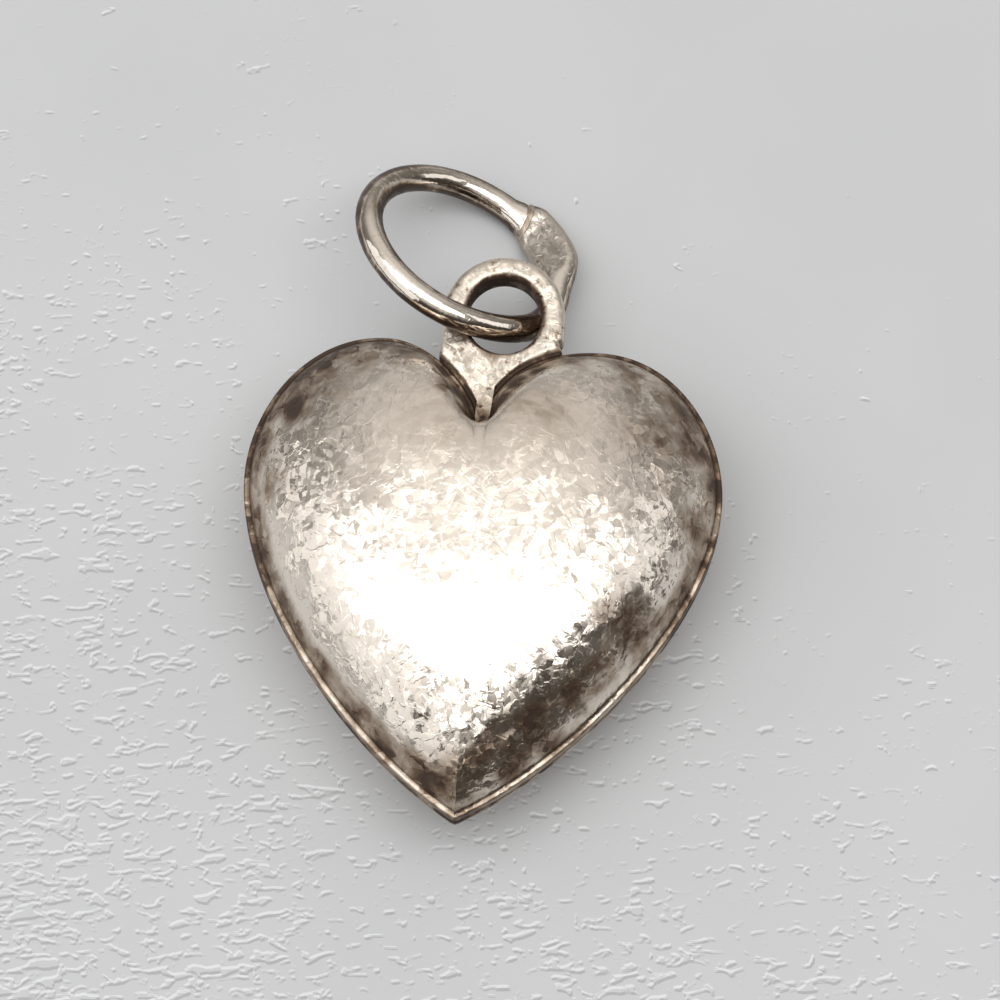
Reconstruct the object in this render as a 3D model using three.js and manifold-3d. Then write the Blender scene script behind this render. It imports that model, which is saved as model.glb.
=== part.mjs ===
// Puffed heart pendant: two pressed silver halves soldered rim to rim, an eyelet soldered into
// the cleft between the lobes, and a loose jump ring linked through the eyelet.
//
// Millimetres. The pendant lies on its back: +Z points out of its front, +Y towards the eyelet,
// and the origin is the middle of the small worn flat that the back rests on.

import * as THREE from 'three';
import { mergeVertices } from 'three/addons/utils/BufferGeometryUtils.js';
import Module from 'manifold-3d';

const wasm = await Module();
wasm.setup();

const { degToRad, lerp, smoothstep } = THREE.MathUtils;
const FULL_TURN = 2 * Math.PI;

// Heart outline, measured at the outer edge of the rim
const HALF_WIDTH = 7.5;
const WIDEST_Y = 1.95;
const LOBE_TOP = new THREE.Vector2(3.42, 6.91);
const CLEFT = new THREE.Vector2(-0.26, 4.02);
const TIP_Y = -8.91;
const TIP_SHOULDER = new THREE.Vector2(0.9, -8.55);
const TIP_ROUND = 0.38;
const RIM_STEPS = 9;

// Handles of the outline's curves. The right lobe leaves the cleft more steeply than the left one
// and runs flatter into its top, so it stands fuller beside the eyelet.
const CLEFT_LEAN = 0.22;
const RIGHT_LOBE = { rise: 1.8, run: 2.0 };
const LEFT_LOBE = { rise: 1.15, run: 1.55 };
const LOBE_REACH = 2.38;
const SHOULDER_RISE = 2.5;
const FLANK_FALL = 3.5;
const FLANK_PULL = new THREE.Vector2(4.1, -6.33);

// Pressed halves. The back is a little flatter, so that the ring's wire rests on the table too.
const FRONT_DEPTH = 3.05;
const BACK_DEPTH = 2.732;
const SHEET = 0.38;
const FLANGE_WIDTH = 0.18;
const FLANGE_THICKNESS = 0.3;
const SEAM_THICKNESS = 0.06;
const CROWN_SHARPNESS = 3.1;
const CROWN_FULLNESS = 0.72;
const CROWN_RADIUS = 7.2;
const OPEN_ROUNDING = 3;
const CREASE_ROUNDING = 1;
const CREASE_SPREAD = degToRad(25);
const BACK_FLAT = 0.26;
const FRONT_FLAT = 0.04;
const VENT_RADIUS = 0.35;
const VENT_Y = 2.3;

// Eyelet
const HOLE_CENTRE = new THREE.Vector2(0.2, 7.93);
const HOLE_HALF_WIDTH = 1.19;
const HOLE_HALF_HEIGHT = 1.34;
const EYELET_WALL = 0.76;
const EYELET_THICKNESS = 0.95;
const EYELET_ROUNDING = 0.3;
const TAB_THICKNESS = 0.88;
const TAB_ROUNDING = 0.1;
const SOLDER_GAP = 0.1;

// Jump ring
const RING_RADIUS = 3.36;
const WIRE_RADIUS = 0.44;
const RING_FROM_HOLE = new THREE.Vector3(-1.502, 2.555, -0.435);
const RING_TILT = degToRad(35.1);
const RING_HEADING = degToRad(45.6);

// The ring is no longer flat: its wire is pulled up on one side of the eyelet and down on the other
const BEND_ANGLE = degToRad(-60);
const BEND_SPREAD = degToRad(24.5);
const BEND_HEIGHT = 0.27;

// One end of the wire is hammered to a flat paddle and the other end is soldered onto it
const JOINT_ANGLE = degToRad(3);
const JOINT_SCARF = degToRad(35);
const SCARF_FADE = degToRad(24);
const JOINT_GAP = 0.14;
const JOINT_BEAD = 0.03;
const PADDLE_HALF_WIDTH = 0.76;
const PADDLE_HALF_THICKNESS = 0.32;
const PADDLE_SHIFT = 0.07;
const PADDLE_ROLL = degToRad(44);
const PADDLE_START = degToRad(25);
const PADDLE_END = degToRad(50);
const LAPPED_FLATNESS = 0.3;
const LAPPED_END = degToRad(12);

// Clearance that solder leaves to the pieces it joins
const FIT = 0.015;

const silver = new THREE.MeshStandardMaterial({ color: 0xc9c2b8, roughness: 0.32, metalness: 1 });
const wornSilver = new THREE.MeshStandardMaterial({ color: 0xd2cabf, roughness: 0.4, metalness: 1 });
const polishedSilver = new THREE.MeshStandardMaterial({ color: 0xd8d0c4, roughness: 0.2, metalness: 1 });
const solder = new THREE.MeshStandardMaterial({ color: 0xa79f94, roughness: 0.5, metalness: 1 });

// Mesh helpers

function signedVolume(points, faces) {
  const [a, b, c] = [new THREE.Vector3(), new THREE.Vector3(), new THREE.Vector3()];
  let volume = 0;
  for (let i = 0; i < faces.length; i += 3) {
    a.copy(points[faces[i]]);
    b.copy(points[faces[i + 1]]);
    c.copy(points[faces[i + 2]]);
    volume += a.dot(b.cross(c)) / 6;
  }
  return volume;
}

function bodyFrom(points, faces) {
  if (signedVolume(points, faces) < 0) faces.reverse();
  const geometry = new THREE.BufferGeometry().setFromPoints(points);
  geometry.setIndex(faces);
  geometry.computeVertexNormals();
  return geometry;
}

// A closed body skinned over loops of equal length. An open row of loops is capped at both ends,
// and a ring of loops joins its last loop to its first.
function skin(loops, { ring = false } = {}) {
  const count = loops[0].length;
  const points = loops.flat();
  const faces = [];
  const spans = ring ? loops.length : loops.length - 1;
  for (let i = 0; i < spans; i += 1) {
    const here = i * count;
    const next = ((i + 1) % loops.length) * count;
    for (let j = 0; j < count; j += 1) {
      const k = (j + 1) % count;
      faces.push(here + j, next + j, next + k, here + j, next + k, here + k);
    }
  }
  if (!ring) {
    const last = (loops.length - 1) * count;
    const start = points.push(centroid(loops[0])) - 1;
    const end = points.push(centroid(loops.at(-1))) - 1;
    for (let j = 0; j < count; j += 1) {
      const k = (j + 1) % count;
      faces.push(start, j, k, end, last + k, last + j);
    }
  }
  return bodyFrom(points, faces);
}

function centroid(loop) {
  const sum = loop.reduce((total, point) => total.add(point), new THREE.Vector3());
  return sum.divideScalar(loop.length);
}

function toSolid(geometry) {
  const bare = geometry.clone();
  bare.deleteAttribute('normal');
  bare.deleteAttribute('uv');
  const merged = mergeVertices(bare);
  return new wasm.Manifold(new wasm.Mesh({
    numProp: 3,
    vertProperties: new Float32Array(merged.attributes.position.array),
    triVerts: new Uint32Array(merged.index.array),
  }));
}

function fromSolid(solid) {
  const mesh = solid.getMesh();
  const geometry = new THREE.BufferGeometry();
  geometry.setAttribute('position', new THREE.BufferAttribute(mesh.vertProperties, 3));
  geometry.setIndex(new THREE.BufferAttribute(mesh.triVerts, 1));
  geometry.computeVertexNormals();
  return geometry;
}

function namedMesh(name, geometry, material) {
  const mesh = new THREE.Mesh(geometry, material);
  mesh.name = name;
  return mesh;
}

// Heart outline

// One side of the heart as curves from the cleft to the tip: +1 is the right lobe, -1 the left.
function heartSide(side) {
  const at = (x, y) => new THREE.Vector2(side * x, y);
  const lobe = side > 0 ? RIGHT_LOBE : LEFT_LOBE;
  const top = at(LOBE_TOP.x, LOBE_TOP.y);
  const widest = at(HALF_WIDTH, WIDEST_Y);
  const shoulder = at(TIP_SHOULDER.x, TIP_SHOULDER.y);
  const tip = at(0, TIP_Y);
  const outOfCleft = at(CLEFT_LEAN, lobe.rise).add(CLEFT);
  const intoTop = at(LOBE_TOP.x - lobe.run, LOBE_TOP.y);
  const outOfTop = at(LOBE_TOP.x + LOBE_REACH, LOBE_TOP.y);
  const intoWidest = at(HALF_WIDTH, WIDEST_Y + SHOULDER_RISE);
  const outOfWidest = at(HALF_WIDTH, WIDEST_Y - FLANK_FALL);
  const intoShoulder = at(FLANK_PULL.x, FLANK_PULL.y);
  return [
    new THREE.CubicBezierCurve(CLEFT, outOfCleft, intoTop, top),
    new THREE.CubicBezierCurve(top, outOfTop, intoWidest, widest),
    new THREE.CubicBezierCurve(widest, outOfWidest, intoShoulder, shoulder),
    new THREE.QuadraticBezierCurve(shoulder, at(TIP_ROUND, TIP_Y), tip),
  ];
}

// Outline points, counter-clockwise from the tip, up the right side and down the left.
function heartOutline() {
  const right = heartSide(1).flatMap((curve) => curve.getPoints(RIM_STEPS).slice(0, -1));
  const left = heartSide(-1).flatMap((curve) => curve.getPoints(RIM_STEPS).slice(0, -1));
  const tip = new THREE.Vector2(0, TIP_Y);
  return [tip, ...right.reverse(), ...left.slice(1)];
}

// The loop moved inwards by a distance, or outwards where the distance is negative.
function inset(loop, distance) {
  return loop.map((point, i) => {
    const before = loop.at(i - 1);
    const after = loop[(i + 1) % loop.length];
    const along = point.clone().sub(before).normalize().add(after.clone().sub(point).normalize());
    along.normalize();
    return new THREE.Vector2(point.x - along.y * distance, point.y + along.x * distance);
  });
}

const outline = heartOutline();
const lift = (loop, z) => loop.map((point) => new THREE.Vector3(point.x, point.y, z));

// Pressed halves

// Height of the dome, from 1 on its flat crown to 0 at its foot.
function crownProfile(reach, flat) {
  const slope = Math.max(0, (reach - flat) / (1 - flat));
  return (1 - slope ** CROWN_SHARPNESS) ** CROWN_FULLNESS;
}

// A contour of the dome: the heart's own outline at its foot, rounding off to a circle at the
// crown. Beside the cleft it rounds off slowly, which leaves the crease between the lobes.
function contour(foot, reach) {
  return foot.map((point) => {
    const fromCleft = (point.angle() - CLEFT.angle()) / CREASE_SPREAD;
    const rounding = lerp(OPEN_ROUNDING, CREASE_ROUNDING, Math.exp(-fromCleft * fromCleft));
    const radius = lerp(CROWN_RADIUS, point.length(), reach ** rounding);
    return point.clone().setLength(reach * radius);
  });
}

function dome(foot, base, height, flat, reaches) {
  return reaches.map((reach) => lift(contour(foot, reach), base + height * crownProfile(reach, flat)));
}

// One pressed half as loops from its outer crown, over the flange, to its inner crown.
function halfLoops(crown, flat) {
  const flangeFace = SEAM_THICKNESS / 2;
  const flangeTop = flangeFace + FLANGE_THICKNESS;
  const outerReaches = [flat, 0.3, 0.45, 0.58, 0.68, 0.77, 0.84, 0.9, 0.945, 0.975, 0.992, 1];
  const innerReaches = [1, 0.97, 0.9, 0.78, 0.62, 0.4, flat];
  const outerFoot = inset(outline, FLANGE_WIDTH);
  const innerFoot = inset(outline, FLANGE_WIDTH + SHEET);
  return [
    ...dome(outerFoot, flangeTop, crown - flangeTop, flat, outerReaches),
    lift(outline, flangeTop),
    lift(outline, flangeFace),
    ...dome(innerFoot, flangeFace, crown - SHEET - flangeFace, flat, innerReaches),
  ];
}

function frontShell() {
  return namedMesh('front_shell', skin(halfLoops(FRONT_DEPTH, FRONT_FLAT)), silver);
}

// The back is a pressing of the same outline turned over, with a pinhole for the soldering gas.
function backShell() {
  const turned = halfLoops(BACK_DEPTH, BACK_FLAT).map((loop) => (
    loop.map((point) => new THREE.Vector3(point.x, point.y, -point.z))
  ));
  const vent = new THREE.CylinderGeometry(VENT_RADIUS, VENT_RADIUS, BACK_DEPTH, 16);
  vent.rotateX(Math.PI / 2);
  vent.translate(0, VENT_Y, -BACK_DEPTH);
  const pierced = toSolid(skin(turned)).subtract(toSolid(vent));
  return namedMesh('back_shell', fromSolid(pierced), silver);
}

// The solder seen as a fine line between the two flanges.
function seamSolder() {
  const half = SEAM_THICKNESS / 2 - FIT;
  const outer = inset(outline, FIT);
  const inner = inset(outline, FLANGE_WIDTH + SHEET - FIT);
  const loops = [lift(outer, half), lift(outer, -half), lift(inner, -half), lift(inner, half)];
  return namedMesh('seam_solder', skin(loops, { ring: true }), solder);
}

// Eyelet

// A rounded section of the eyelet's rim at one angle, between the hole and the outer edge.
function rimSection(angle) {
  const reach = EYELET_WALL / 2;
  const corner = new THREE.Vector2(reach - EYELET_ROUNDING, EYELET_THICKNESS / 2 - EYELET_ROUNDING);
  const steps = 16;
  return Array.from({ length: steps }, (_, i) => {
    const turn = ((i + 0.5) / steps) * FULL_TURN;
    const across = Math.sign(Math.cos(turn)) * corner.x + EYELET_ROUNDING * Math.cos(turn);
    const up = Math.sign(Math.sin(turn)) * corner.y + EYELET_ROUNDING * Math.sin(turn);
    return new THREE.Vector3(
      HOLE_CENTRE.x + (HOLE_HALF_WIDTH + reach + across) * Math.cos(angle),
      HOLE_CENTRE.y + (HOLE_HALF_HEIGHT + reach + across) * Math.sin(angle),
      up,
    );
  });
}

function eyeletRim() {
  const steps = 44;
  const sections = Array.from({ length: steps }, (_, i) => rimSection((i / steps) * FULL_TURN));
  return skin(sections, { ring: true });
}

// A prism of the heart's outline, grown outwards by a gap.
function heartPrism(gap, depth) {
  const grown = new THREE.Shape(inset(outline, -gap));
  const prism = new THREE.ExtrudeGeometry(grown, { depth, bevelEnabled: false });
  prism.translate(0, 0, -depth / 2);
  return toSolid(prism);
}

// The tab below the rim, with straight sides. It reaches down between the lobes.
function eyeletTab() {
  const tabHalf = HOLE_HALF_WIDTH + EYELET_WALL;
  const bite = EYELET_WALL / 4;
  const shape = new THREE.Shape();
  shape.moveTo(HOLE_CENTRE.x - tabHalf, HOLE_CENTRE.y);
  shape.lineTo(HOLE_CENTRE.x - tabHalf, CLEFT.y);
  shape.lineTo(HOLE_CENTRE.x + tabHalf, CLEFT.y);
  shape.lineTo(HOLE_CENTRE.x + tabHalf, HOLE_CENTRE.y);
  shape.absellipse(
    HOLE_CENTRE.x, HOLE_CENTRE.y, HOLE_HALF_WIDTH + bite, HOLE_HALF_HEIGHT + bite, 0, Math.PI, true,
  );
  const tab = new THREE.ExtrudeGeometry(shape, {
    depth: TAB_THICKNESS - 2 * TAB_ROUNDING,
    curveSegments: 16,
    bevelThickness: TAB_ROUNDING,
    bevelSize: TAB_ROUNDING,
    bevelOffset: -TAB_ROUNDING,
    bevelSegments: 2,
  });
  tab.translate(0, 0, TAB_ROUNDING - TAB_THICKNESS / 2);
  return tab;
}

// The eyelet is cut to the lobes, so that its tab ends in a wedge that fills the cleft.
function eyelet() {
  const blank = toSolid(eyeletRim()).add(toSolid(eyeletTab()));
  const wedged = blank.subtract(heartPrism(SOLDER_GAP, 2 * EYELET_THICKNESS));
  return namedMesh('eyelet', fromSolid(wedged), wornSilver);
}

// Solder run into the V between the wedge and the two lobes.
function eyeletSolder() {
  const depth = FLANGE_THICKNESS * 2 + SEAM_THICKNESS;
  const width = 2 * (HOLE_HALF_WIDTH + EYELET_WALL - SOLDER_GAP);
  const height = 2 * (HOLE_CENTRE.y - HOLE_HALF_HEIGHT - CLEFT.y);
  const reach = new THREE.BoxGeometry(width, height, 2 * depth);
  reach.translate(HOLE_CENTRE.x, CLEFT.y + height / 2 - SOLDER_GAP, 0);
  const run = heartPrism(SOLDER_GAP - FIT, depth).subtract(heartPrism(FIT, 2 * depth));
  return namedMesh('eyelet_solder', fromSolid(run.intersect(toSolid(reach))), solder);
}

// Jump ring

// How much the wire is flattened at an angle from its joint: the paddle lies on the side below.
function flatnessAt(fromJoint) {
  if (fromJoint > 0) return LAPPED_FLATNESS * (1 - smoothstep(fromJoint, 0, LAPPED_END));
  return 1 - smoothstep(-fromJoint, PADDLE_START, PADDLE_END);
}

// How far the wire is lifted at an angle, by the bend that it took from hanging in the eyelet.
function bendAt(angle) {
  const turn = angle - BEND_ANGLE;
  const from = Math.atan2(Math.sin(turn), Math.cos(turn)) / BEND_SPREAD;
  return BEND_HEIGHT * from * Math.exp((1 - from * from) / 2);
}

// A section of the wire at an angle from the joint. The ends at the joint are sliced on the slant.
function wireSection(fromJoint, flatness, swell = 0) {
  const steps = 14;
  const halfWidth = lerp(WIRE_RADIUS, PADDLE_HALF_WIDTH, flatness) + swell;
  const halfThickness = lerp(WIRE_RADIUS, PADDLE_HALF_THICKNESS, flatness) + swell;
  const scarf = (1 - smoothstep(Math.abs(fromJoint), 0, SCARF_FADE)) * Math.tan(JOINT_SCARF);
  const upright = new THREE.Vector3(-Math.sin(RING_TILT), 0, Math.cos(RING_TILT));
  return Array.from({ length: steps }, (_, i) => {
    const turn = (i / steps) * FULL_TURN;
    const across = new THREE.Vector2(halfWidth * Math.cos(turn), halfThickness * Math.sin(turn));
    across.x += PADDLE_SHIFT * flatness;
    across.rotateAround(new THREE.Vector2(), PADDLE_ROLL);
    const angle = JOINT_ANGLE + fromJoint + (scarf * across.x) / RING_RADIUS;
    const radius = RING_RADIUS + across.x;
    const place = new THREE.Vector3(radius * Math.cos(angle), radius * Math.sin(angle), across.y);
    return place.addScaledVector(upright, bendAt(angle));
  });
}

function jumpRing() {
  const steps = 64;
  const halfGap = JOINT_GAP / 2 / RING_RADIUS;
  const sweep = FULL_TURN - 2 * halfGap;
  const sections = Array.from({ length: steps + 1 }, (_, i) => {
    const along = halfGap + (i / steps) * sweep;
    const fromJoint = along > Math.PI ? along - FULL_TURN : along;
    return wireSection(fromJoint, flatnessAt(fromJoint));
  });
  return namedMesh('jump_ring', skin(sections), polishedSilver);
}

// The bead that closes the ring, standing a little proud of the paddle.
function ringSolder() {
  const half = (JOINT_GAP / 2 - FIT) / RING_RADIUS;
  const sections = [-1, 0, 1].map((end) => (
    wireSection(end * half, 1, JOINT_BEAD * (1 - Math.abs(end)))
  ));
  return namedMesh('ring_solder', skin(sections), solder);
}

// Assembly

const pendant = new THREE.Group();
const heart = new THREE.Group();
heart.position.z = BACK_DEPTH;
heart.add(frontShell(), backShell(), seamSolder(), eyelet(), eyeletSolder());

const ring = new THREE.Group();
ring.position.set(HOLE_CENTRE.x, HOLE_CENTRE.y, 0).add(RING_FROM_HOLE);
ring.rotation.set(0, RING_TILT, RING_HEADING, 'ZYX');
ring.add(jumpRing(), ringSolder());
heart.add(ring);
pendant.add(heart);

export default pendant;
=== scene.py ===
# %% [markdown]
# # A worn silver heart pendant
#
# The pendant is a small puffed heart: two pressed silver halves soldered rim to rim, an eyelet in
# the cleft between the lobes, and a loose jump ring. It lies on its back on a pale table. This
# lesson loads the measured frame of the pendant, models each piece again with a fine surface, and
# gives each one the finish of silver that has been worn and carried for years.

# %% Load the frame
import math

import bmesh
import bpy
from mathutils import Matrix, Vector, noise
from mathutils.geometry import interpolate_bezier


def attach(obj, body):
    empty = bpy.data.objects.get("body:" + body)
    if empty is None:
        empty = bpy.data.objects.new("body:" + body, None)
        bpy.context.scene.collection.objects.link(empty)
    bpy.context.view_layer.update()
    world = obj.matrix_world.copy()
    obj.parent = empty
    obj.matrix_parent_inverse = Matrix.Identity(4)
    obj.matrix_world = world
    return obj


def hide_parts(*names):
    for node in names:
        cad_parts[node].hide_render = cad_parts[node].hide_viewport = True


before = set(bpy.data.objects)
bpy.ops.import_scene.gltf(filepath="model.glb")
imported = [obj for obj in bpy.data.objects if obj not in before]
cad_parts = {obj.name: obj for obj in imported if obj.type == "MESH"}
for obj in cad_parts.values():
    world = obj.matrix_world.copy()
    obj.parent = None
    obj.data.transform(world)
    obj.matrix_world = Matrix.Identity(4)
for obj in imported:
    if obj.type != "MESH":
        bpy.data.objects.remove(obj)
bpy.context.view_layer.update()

MM = 0.001
scene = bpy.context.scene
scene.view_settings.view_transform = "Standard"

# %% [markdown]
# ## Camera
#
# The pendant is seen from above and a little from the front, through a long lens, so its outline
# is hardly bent by perspective. The camera could be placed by hand, but two angles, a distance and
# a point to look at are easier to read and to change.

# %% Camera
AIM = Vector((0.55, 1.75, 2.732)) * MM
CAMERA_DISTANCE = 130 * MM
CAMERA_AZIMUTH = math.radians(4.5)
CAMERA_ELEVATION = math.radians(67.5)
CLIP_START = 10 * MM
LENS = 149.3


def direction(azimuth, elevation):
    """Unit vector from the pendant towards a place on the sky."""
    level = math.cos(elevation)
    return Vector((math.sin(azimuth) * level, -math.cos(azimuth) * level, math.sin(elevation)))


def set_up(thing, towards, distance):
    """Stands a camera or a lamp on the sky around the pendant, facing it."""
    thing.location = AIM + towards * distance
    thing.rotation_mode = "QUATERNION"
    thing.rotation_quaternion = (-towards).to_track_quat("-Z", "Y")
    scene.collection.objects.link(thing)


camera_data = bpy.data.cameras.new("camera")
camera_data.lens = LENS
camera_data.clip_start = CLIP_START
camera = bpy.data.objects.new("camera", camera_data)
set_up(camera, direction(CAMERA_AZIMUTH, CAMERA_ELEVATION), CAMERA_DISTANCE)
scene.camera = camera
print("camera at mm", [round(place / MM, 1) for place in camera.location])

# %% [markdown]
# ## Light
#
# Polished metal shows the room more than its own colour. One soft panel hangs almost straight above
# and gives the broad white gleam on the crown. Two paler panels stand at the sides like windows and
# light the flanks. Panels are area lamps, given by where they stand on the sky and how wide they
# look from the pendant, because that is what the metal shows.

# %% Light
PANEL_DISTANCE = 400 * MM
OVERHEAD = Vector((0.0, -0.05, 1)).normalized()
OVERHEAD_SPREAD = (38, 19)
OVERHEAD_RADIANCE = 1.6
LEFT_WINDOW = direction(math.radians(-74), math.radians(31))
LEFT_SPREAD = (37, 24)
RIGHT_WINDOW = direction(math.radians(103), math.radians(30))
RIGHT_SPREAD = (14, 16)
WINDOW_RADIANCE = 0.85


def soft_panel(name, towards, half_angles, radiance):
    """An area lamp that fills the given half angles, in degrees, as seen from the pendant."""
    size = [2 * PANEL_DISTANCE * math.tan(math.radians(angle)) for angle in half_angles]
    lamp = bpy.data.lights.new(name, "AREA")
    lamp.shape = "RECTANGLE"
    lamp.size, lamp.size_y = size
    lamp.energy = radiance * math.pi * size[0] * size[1]
    set_up(bpy.data.objects.new(name, lamp), towards, PANEL_DISTANCE)
    print(name, "is", round(size[0] / MM), "by", round(size[1] / MM), "mm")


soft_panel("overhead_panel", OVERHEAD, OVERHEAD_SPREAD, OVERHEAD_RADIANCE)
soft_panel("left_window", LEFT_WINDOW, LEFT_SPREAD, WINDOW_RADIANCE)
soft_panel("right_window", RIGHT_WINDOW, RIGHT_SPREAD, WINDOW_RADIANCE)

# %% [markdown]
# ## Node helpers
#
# Node trees are easier to read when a short helper adds a node, sets its values and links its
# inputs. The world and every material below are written with these few.

# %% Node helpers
def add_node(tree, kind, values=None, links=None, **settings):
    """A new shader node with its settings, input values and linked inputs."""
    made = tree.nodes.new("ShaderNode" + kind)
    for key, value in settings.items():
        setattr(made, key, value)
    for key, value in (values or {}).items():
        made.inputs[key].default_value = value
    for key, socket in (links or {}).items():
        tree.links.new(socket, made.inputs[key])
    return made


def add_ramp(tree, factor, stops):
    """A colour ramp with (place, colour) stops; a colour may be one grey level."""
    ramp = add_node(tree, "ValToRGB", links={"Fac": factor})
    elements = ramp.color_ramp.elements
    while len(elements) < len(stops):
        elements.new(0.5)
    for element, (place, colour) in zip(elements, stops):
        element.position = place
        red, green, blue = (colour,) * 3 if isinstance(colour, (int, float)) else colour
        element.color = (red, green, blue, 1)
    return ramp.outputs["Color"]


def give(tree, socket, value):
    """Links a socket to an input, or sets the input to a plain value."""
    if isinstance(value, bpy.types.NodeSocket):
        tree.links.new(value, socket)
    else:
        socket.default_value = value


def operate(tree, kind, operation, values, output=0):
    """A math node whose inputs are sockets or plain values."""
    made = add_node(tree, kind, operation=operation)
    for socket, value in zip(made.inputs, values):
        give(tree, socket, value)
    return made.outputs[output]


print("helpers", [helper.__name__ for helper in (add_node, add_ramp, give, operate)])

# %% [markdown]
# The rest are sums. Each hides one math node, so that a line below reads like plain arithmetic.

# %% Arithmetic in nodes
def calc(tree, operation, *values):
    """Arithmetic on numbers."""
    return operate(tree, "Math", operation, values)


def combine(tree, operation, *values):
    """Arithmetic on vectors that gives a vector."""
    return operate(tree, "VectorMath", operation, values)


def along(tree, vector, axis):
    """How far a vector reaches along an axis."""
    return operate(tree, "VectorMath", "DOT_PRODUCT", (vector, axis), "Value")


def scaled(tree, vector, amount):
    """A vector, or a colour, times a number."""
    made = add_node(tree, "VectorMath", links={"Vector": vector, "Scale": amount}, operation="SCALE")
    return made.outputs["Vector"]


def between(tree, value, low, high, to_low=0.0, to_high=1.0):
    """A smooth step from one value to another."""
    return add_node(
        tree, "MapRange", {"From Min": low, "From Max": high, "To Min": to_low, "To Max": to_high},
        {"Value": value}, interpolation_type="SMOOTHSTEP",
    ).outputs["Result"]


def mixed(tree, factor, first, second):
    """A colour between two others: a socket, and a plain colour that a factor of one gives."""
    made = add_node(tree, "Mix", data_type="RGBA")
    for name, value in (("Factor", factor), ("A", first), ("B", (*second, 1))):
        give(tree, next(s for s in made.inputs if s.name == name and s.enabled), value)
    return next(s for s in made.outputs if s.enabled)


print("arithmetic", [helper.__name__ for helper in (calc, combine, along, scaled, between, mixed)])

# %% [markdown]
# ## Room
#
# The room is the world around the scene, and the metal mirrors it. A picture of a real room could be
# wrapped around it, but a few grey levels are enough and easy to change. One ramp runs from the dark
# side of the viewer, which makes the flanks that face it almost black, to the pale wall behind the
# pendant. A round glow on the ceiling, which leans a little towards the viewer, is added to it.

# %% Room
ROOM_FRONT = (0.05, 0.043, 0.036)
ROOM_SIDE = (0.12, 0.11, 0.1)
ROOM_LOW_BACK = (0.22, 0.21, 0.195)
ROOM_BACK = (0.65, 0.625, 0.595)
BACK_WALL = Vector((0, 0.72, 0.69))
WALL_STOPS = [(0.0, ROOM_FRONT), (0.35, ROOM_SIDE), (0.7, ROOM_LOW_BACK), (0.95, ROOM_BACK)]
CEILING = (0.56, 0.555, 0.54)
CEILING_MIDDLE = Vector((0, -0.15, 0.99))
CEILING_EDGE = (0.66, 0.97)

world = bpy.data.worlds.new("room")
world.use_nodes = True
room = world.node_tree
sight = add_node(room, "TexCoord").outputs["Generated"]
walls = add_ramp(room, along(room, sight, BACK_WALL), WALL_STOPS)
glow = between(room, along(room, sight, CEILING_MIDDLE), *CEILING_EDGE)
ceiling = add_ramp(room, glow, [(0.0, 0.0), (1.0, CEILING)])
lit_room = combine(room, "ADD", walls, ceiling)
room.links.new(lit_room, room.nodes["Background"].inputs["Color"])
scene.world = world
print("room nodes", len(room.nodes))

# %% [markdown]
# ## Table
#
# The table is a plain pale sheet, and no part of the pendant. A single plane from a bmesh operator
# is enough, and a faint cloudiness keeps it from looking printed.

# %% Table
TABLE_HALF = 600 * MM


def mesh_object(name, mesh):
    """A new object in the scene from a finished bmesh."""
    data = bpy.data.meshes.new(name)
    mesh.to_mesh(data)
    mesh.free()
    made = bpy.data.objects.new(name, data)
    scene.collection.objects.link(made)
    return made


table_mesh = bmesh.new()
bmesh.ops.create_grid(table_mesh, x_segments=1, y_segments=1, size=TABLE_HALF)
table = mesh_object("table", table_mesh)
print("table across in mm", round(2 * TABLE_HALF / MM))

# %% [markdown]
# Its paint has small raised flecks, more of them at the left and towards the viewer. They could be
# modelled, but there are thousands. Noise that is stretched sideways gives their shape. Two looks at
# it, a hair's breadth apart, tell which side of a fleck is which, and the colour is given a painted
# highlight on the far side and painted shade on the near side.

# %% Table flecks
FLECK_HEIGHT = 0.27
FLECK_STRETCH = 2.6
FLECK_TURN = 0.2
FLECK_DETAIL = 2
FLECK_DISTORTION = 1.2
FLECK_SWARM = 5.0
SWARM_SHARE = 0.3
FLECKS_FADE = Vector((0.0033, 0.0055, 0)) / MM
FLECK_CUT = (0.79, 0.85)


def stretched(tree, coords, turn, stretch):
    """Coordinates in which a pattern comes out turned and drawn out lengthwise."""
    return add_node(
        tree, "Mapping", {"Rotation": (0, 0, turn), "Scale": (stretch, 1, 1)},
        {"Vector": coords}, vector_type="TEXTURE",
    ).outputs["Vector"]


def flecks(tree, place, shift):
    """Where the raised flecks are, looked up a small step away."""
    moved = combine(tree, "ADD", place, shift)
    shapes = add_node(
        tree, "TexNoise",
        {"Scale": 1 / (FLECK_HEIGHT * MM), "Detail": FLECK_DETAIL, "Distortion": FLECK_DISTORTION},
        {"Vector": stretched(tree, moved, FLECK_TURN, FLECK_STRETCH)},
    )
    swarm = add_node(tree, "TexNoise", {"Scale": 1 / (FLECK_SWARM * MM)}, {"Vector": place})
    rarer = along(tree, place, FLECKS_FADE)
    spread = calc(tree, "MULTIPLY_ADD", swarm.outputs["Fac"], SWARM_SHARE, shapes.outputs["Fac"])
    return between(tree, calc(tree, "SUBTRACT", spread, rarer), *FLECK_CUT)


print("flecks are about", FLECK_HEIGHT, "mm high and", FLECK_STRETCH, "times as long")

# %% [markdown]
# The paint itself is two pale greys in faint clouds, with the flecks' painted highlight and shade laid
# over them.

# %% Table paint
TABLE_PALE = (0.648, 0.66, 0.675)
TABLE_SHADE = (0.62, 0.632, 0.647)
TABLE_ROUGHNESS = 0.6
TABLE_CLOUDS = 90
CLOUD_DETAIL = 3
CLOUD_STOPS = [(0.35, TABLE_SHADE), (0.65, TABLE_PALE)]
FLECK_EDGE = Vector((-0.02, 0.045, 0)) * MM
# The flecks' relief is only painted: a painted highlight on their far side and painted shade on their
# near side.
FLECK_PAINTED_LIGHT = 0.27


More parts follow.
